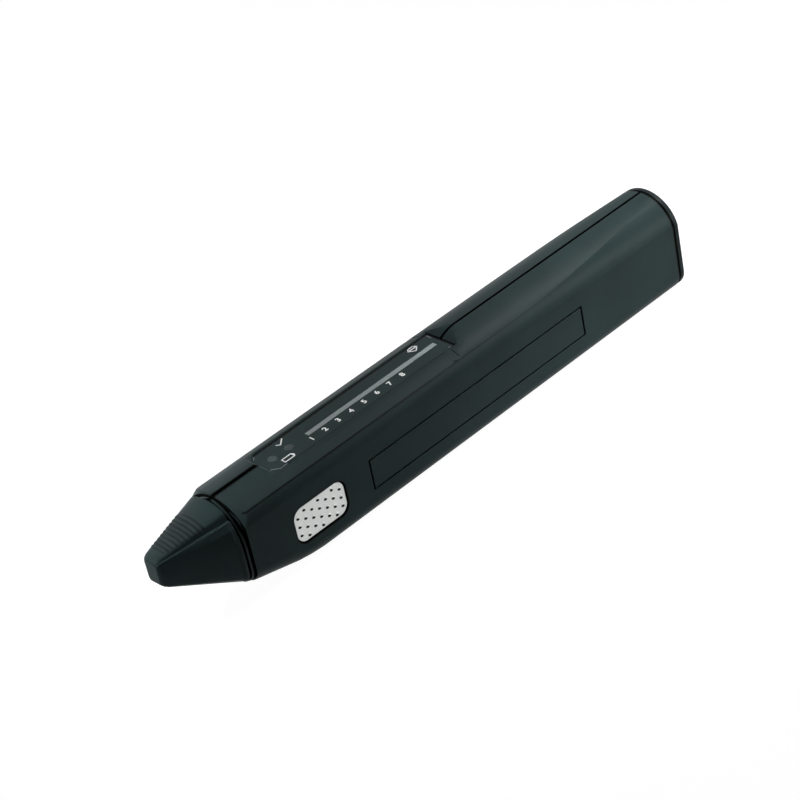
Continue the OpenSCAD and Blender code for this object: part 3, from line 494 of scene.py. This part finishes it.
def shaded_bar(name, front, rear, roughness):
    """Frosted lens whose colour runs from the front end of the bar to its rear end."""
    graph, shader = new_material(name)
    x, _, _ = graph.place_mm()
    along = graph.add("ShaderNodeMapRange", {
        "Value": x,
        "From Min": BAR_X[0],
        "From Max": BAR_X[1],
    })
    cloud = graph.noise(LENS_GRAIN)
    graph.feed(shader, {
        "Base Color": graph.ramp(along.outputs["Result"], front, rear, (0.0, 1.0)),
        "Roughness": graph.spread(cloud, roughness - GLOSS_DRIFT, roughness + GLOSS_DRIFT),
        "Specular IOR Level": PLAIN_SPECULAR,
        "Normal": graph.bump(cloud, GRAIN_DEPTH),
    })


def metal(name, colour, roughness, stretch=MARKS_EVEN, metallic=1.0, edges=None):
    """Bare or plated metal with fine marks, which may run along one direction."""
    graph, shader = new_material(name)
    marks = graph.noise(METAL_GRAIN, METAL_DETAIL, stretch)
    tint = graph.ramp(marks, times(colour, METAL_SHADE), colour)
    # Painted shade: where the mask is 1, the tint turns to the dark colour of the gaps.
    if edges:
        tint = graph.darkened(tint, edges(graph))
    gloss = graph.spread(marks, roughness - METAL_GLOSS_DRIFT, roughness + METAL_GLOSS_DRIFT)
    graph.feed(shader, {
        "Base Color": tint,
        "Roughness": gloss,
        "Metallic": metallic,
        "Normal": graph.bump(marks, GRAIN_DEPTH),
    })


def build_materials():
    """Materials of the record's slots, of the painted shade in the gaps, of the painted highlights
    on the window, and of the printed and the inlaid pieces.
    """
    moulded("shell", BODY_COLOUR, 0.42, specular=BODY_SPECULAR, edges=shell_painted_shade)
    moulded("tail", (0.014, 0.021, 0.022), 0.42, specular=BODY_SPECULAR, edges=tail_painted_shade)
    moulded("cap", BODY_COLOUR, 0.4, specular=BODY_SPECULAR, edges=rib_painted_shade)
    moulded("panel", BODY_COLOUR, 0.36, PANEL_GRAIN, PANEL_DEPTH, BODY_SPECULAR)
    # Painted shade for the faces in gaps, grooves, openings and recesses
    moulded("gap", PAINTED_SHADE_COLOUR, 0.8, specular=0.0)
    moulded("window", (0.019, 0.036, 0.036), 0.2, depth=POLISH_DEPTH, specular=0.06,
            edges=window_painted_shade)
    moulded("lens", (0.055, 0.075, 0.076), 0.4)
    shaded_bar("bar", (0.32, 0.35, 0.35), (0.32, 0.385, 0.375), 0.45)
    metal("print", (0.9, 0.92, 0.91), 0.5, metallic=0.3)
    # Painted highlights along the window's corners
    moulded("glint", (0.2, 0.23, 0.23), 0.4, depth=POLISH_DEPTH)
    metal("pad_metal", (0.64, 0.665, 0.65), 0.4, metallic=0.85, edges=stud_painted_shade)
    metal("steel", (0.62, 0.62, 0.63), 0.32, MARKS_Y)
    metal("copper", (0.75, 0.4, 0.22), 0.3, MARKS_X)
    metal("probe_brass", (0.75, 0.6, 0.36), 0.28, MARKS_X)
    moulded("board", (0.02, 0.12, 0.05), 0.4, specular=0.4)
    moulded("black_plastic", (0.012, 0.013, 0.014), 0.5, specular=0.3)
    moulded("pale_plastic", (0.6, 0.56, 0.45), 0.5, specular=0.4)
    moulded("cell_wrap", (0.25, 0.19, 0.06), 0.3, specular=0.5)
    moulded("wire", (0.35, 0.02, 0.015), 0.45, specular=0.4)


def dress(node):
    """Gives a CAD node the material of its slot."""
    data = frame["nodes"][node].data
    data.materials.clear()
    data.materials.append(materials[node_slots[node]])


def mesh_of(work, name):
    """Turns a working mesh into a mesh of the scene."""
    mesh = bpy.data.meshes.new(name)
    work.to_mesh(mesh)
    work.free()
    return mesh


def place_piece(name, mesh, body, material):
    """Puts a mesh into the scene as a piece that rides on a body."""
    piece = bpy.data.objects.new(name, mesh)
    mesh.materials.append(material)
    bpy.context.scene.collection.objects.link(piece)
    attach(piece, body)
    return piece


def soften(piece, width):
    """Rounds the edges of a piece and evens its shading. Width is in millimetres."""
    bevel = piece.modifiers.new("edges", "BEVEL")
    bevel.width = width * MM
    bevel.segments = EDGE_SEGMENTS
    bevel.limit_method = "ANGLE"
    bevel.angle_limit = EDGE_ANGLE
    bevel.use_clamp_overlap = False
    even = piece.modifiers.new("shading", "WEIGHTED_NORMAL")
    even.weight = SHADING_WEIGHT
    even.keep_sharp = True


def between(value, low, high):
    return low - NEAR < value < high + NEAR


def all_between(values, low, high):
    return all(between(value, low, high) for value in values)


def in_shell_gap(points, normal):
    """Tells whether a face of a shell lies in a groove, an opening or the panel's recess."""
    xs = [p.x for p in points]
    ys = [p.y for p in points]
    zs = [p.z for p in points]
    side = max(abs(y) for y in ys)
    wide = FRONT_SEAM_HALF if max(xs) < WINDOW_X[0] + NEAR else SEAM_HALF
    seam = side < wide + NEAR
    lip_groove = all_between(xs, *LIP_GROOVE_X)
    ends = max(xs) < SHELL_FRONT_X + NEAR or min(xs) > SHELL_REAR_X - NEAR
    pocket = (side < WINDOW_HALF + WINDOW_GAP and max(zs) < DECK_Z + NEAR
              and all_between(xs, WINDOW_X[0] - WINDOW_GAP, WINDOW_X[1] + WINDOW_GAP))
    opening = (abs(normal.y) < OPENING_WALL and max(ys) < 0
               and all(abs(x - PAD_X) < PAD_HALF[0] + PAD_GAP + NEAR for x in xs)
               and all(abs(z - PAD_Z) < PAD_HALF[1] + PAD_GAP + NEAR for z in zs))
    recess = (between(max(ys), PANEL_Y, PANEL_Y) and all_between(xs, *PANEL_X)
              and all_between(zs, *PANEL_Z))
    return seam or lip_groove or ends or pocket or opening or recess


def in_cap_gap(points, _normal):
    """Tells whether a face of the nose cap lies in the gap behind it."""
    return min(p.x for p in points) > CAP_REAR_X - NEAR


GAP_TESTS = {
    "right_shell": in_shell_gap,
    "left_shell": in_shell_gap,
    "protective_cap": in_cap_gap,
}


def finish_node(node, width):
    """Replaces a node by its own shape with rounded edges, crisp creases and painted shade on the
    faces in its gaps.
    """
    work = bmesh.new()
    work.from_mesh(frame["nodes"][node].data)
    bmesh.ops.remove_doubles(work, verts=work.verts, dist=WELD)
    bmesh.ops.dissolve_limit(work, angle_limit=FLAT_ANGLE, verts=work.verts, edges=work.edges)
    work.normal_update()
    for edge in work.edges:
        edge.smooth = not CREASE_ANGLE < edge.calc_face_angle(0.0) < EDGE_ANGLE
    test = GAP_TESTS.get(node)
    for face in work.faces:
        face.smooth = True
        # Faces in a gap take the second material, which is painted shade.
        if test and test([v.co / MM for v in face.verts], face.normal):
            face.material_index = 1
    name = node + "_finished"
    mesh = mesh_of(work, name)
    slot = node_slots[node]
    piece = place_piece(name, mesh, node_body[node], materials[OWN_MATERIALS.get(node, slot)])
    mesh.materials.append(materials["gap"])
    soften(piece, width)
    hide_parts(node)


def add_panel():
    """Bare plate let into the side panel, with a gap all round, where the shell's recess is painted
    in shade.
    """
    work = bmesh.new()
    front, rear, bottom, top = PANEL_GAPS
    low = Vector((PANEL_X[0] + front, PANEL_Y - PANEL_THICK, PANEL_Z[0] + bottom)) * MM
    high = Vector((PANEL_X[1] - rear, PANEL_Y, PANEL_Z[1] - top)) * MM
    shape = Matrix.LocRotScale((low + high) / 2, None, high - low)
    bmesh.ops.create_cube(work, size=1.0, matrix=shape)
    mesh = mesh_of(work, "side_panel")
    piece = place_piece("side_panel", mesh, "housing", materials["panel"])
    mesh.shade_smooth()
    soften(piece, PANEL_EDGE)


def figure_mesh(text):
    """Flat raised mesh of a figure, centred on the origin."""
    curve = bpy.data.curves.new("figure", "FONT")
    curve.body = text
    curve.size = FIGURE_SIZE * MM
    curve.extrude = PRINT_THICK * MM / 2
    curve.offset = FIGURE_BOLD * MM
    curve.align_x = "CENTER"
    curve.align_y = "CENTER"
    source = bpy.data.objects.new("figure", curve)
    bpy.context.scene.collection.objects.link(source)
    bpy.context.view_layer.update()
    solid = source.evaluated_get(bpy.context.evaluated_depsgraph_get())
    mesh = bpy.data.meshes.new_from_object(solid)
    bpy.data.objects.remove(source)
    return mesh


def add_figures():
    """Figures of the scale, printed on the window beside the light bar."""
    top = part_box("display_window")[1][2] + PRINT_LIFT * MM
    work = bmesh.new()
    for i in range(FIGURE_COUNT):
        mesh = figure_mesh(str(i + 1))
        place = Vector(((FIGURE_X + i * FIGURE_PITCH) * MM, FIGURE_Y * MM, top))
        mesh.transform(Matrix.Translation(place))
        work.from_mesh(mesh)
        bpy.data.meshes.remove(mesh)
    mesh = mesh_of(work, "scale_figures")
    place_piece("scale_figures", mesh, "housing", materials["print"])


def add_strokes(name, lines, width, material):
    """Lines on the window, for printed signs and for painted highlights: each runs through its
    points with a constant width.
    """
    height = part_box("display_window")[1][2] + PRINT_LIFT * MM
    work = bmesh.new()
    for points in lines:
        for a, b in zip(points, points[1:]):
            along = Vector((b[0] - a[0], b[1] - a[1], 0)) * MM
            centre = Vector((a[0] + b[0], a[1] + b[1], 0)) * MM / 2 + Vector((0, 0, height))
            size = Vector((along.length + width * MM, width * MM, PRINT_THICK * MM))
            turn = along.to_track_quat("X", "Z")
            bmesh.ops.create_cube(work, size=1.0, matrix=Matrix.LocRotScale(centre, turn, size))
    place_piece(name, mesh_of(work, name), "housing", materials[material])


def add_camera():
    """The photograph's camera: no shift, no depth of field."""
    data = bpy.data.cameras.new("camera")
    data.sensor_width = SENSOR_MM
    data.lens = LENS_MM
    camera = bpy.data.objects.new("camera", data)
    turn = Matrix((CAMERA_RIGHT, CAMERA_UP, CAMERA_BACK)).transposed().to_4x4()
    camera.matrix_world = Matrix.Translation(CAMERA_PLACE) @ turn
    bpy.context.scene.collection.objects.link(camera)
    bpy.context.scene.camera = camera


def add_area(name, place, target, size, power, spread_angle):
    """Soft square lamp that faces a point. Its light fans out by the spread, in degrees."""
    data = bpy.data.lights.new(name, "AREA")
    data.size = size
    data.energy = power
    data.spread = math.radians(spread_angle)
    lamp = bpy.data.objects.new(name, data)
    lamp.location = place
    aim = Vector(target) - Vector(place)
    lamp.rotation_euler = aim.to_track_quat("-Z", "Y").to_euler()
    bpy.context.scene.collection.objects.link(lamp)


def add_world():
    """White surroundings to the camera, gloss and glass, which put no other light on the object."""
    world = bpy.data.worlds.new("surroundings")
    bpy.context.scene.world = world
    graph = Graph(world)
    graph.feed(graph.nodes["Background"], {
        "Color": (1, 1, 1, 1),
        "Strength": graph.seen_directly(),
    })


def add_floor():
    """White floor under the object, which keeps a soft shadow."""
    corners = [(-1, -1, 0), (1, -1, 0), (1, 1, 0), (-1, 1, 0)]
    mesh = bpy.data.meshes.new("floor")
    mesh.from_pydata([times(corner, FLOOR_HALF) for corner in corners], [], [(0, 1, 2, 3)])
    floor = bpy.data.objects.new("floor", mesh)
    bpy.context.scene.collection.objects.link(floor)
    graph, shader = new_material("floor")
    direct = graph.seen_directly()
    graph.feed(shader, {
        "Base Color": graph.spread(direct, FLOOR_SPREAD_GREY, FLOOR_SEEN_GREY),
        "Emission Color": (1, 1, 1, 1),
        "Emission Strength": graph.spread(direct, 0.0, FLOOR_GLOW),
        "Roughness": 1.0,
        "Specular IOR Level": 0.0,
    })
    mesh.materials.append(materials["floor"])


build_materials()
for node in node_slots:
    if node in EDGE_WIDTHS:
        finish_node(node, EDGE_WIDTHS[node])
    else:
        dress(node)
add_panel()
add_figures()
add_strokes("scale_signs", BATTERY_SIGN + TICK_SIGN + GEM_SIGN, SIGN_WIDTH, "print")
# Painted highlights along the window's corners
add_strokes("window_glints", PAINTED_GLINTS, GLINT_WIDTH, "glint")

bpy.context.scene.view_settings.view_transform = "Standard"
add_camera()
add_world()
add_floor()
for name, lamp in LAMPS.items():
    add_area(name, *lamp)
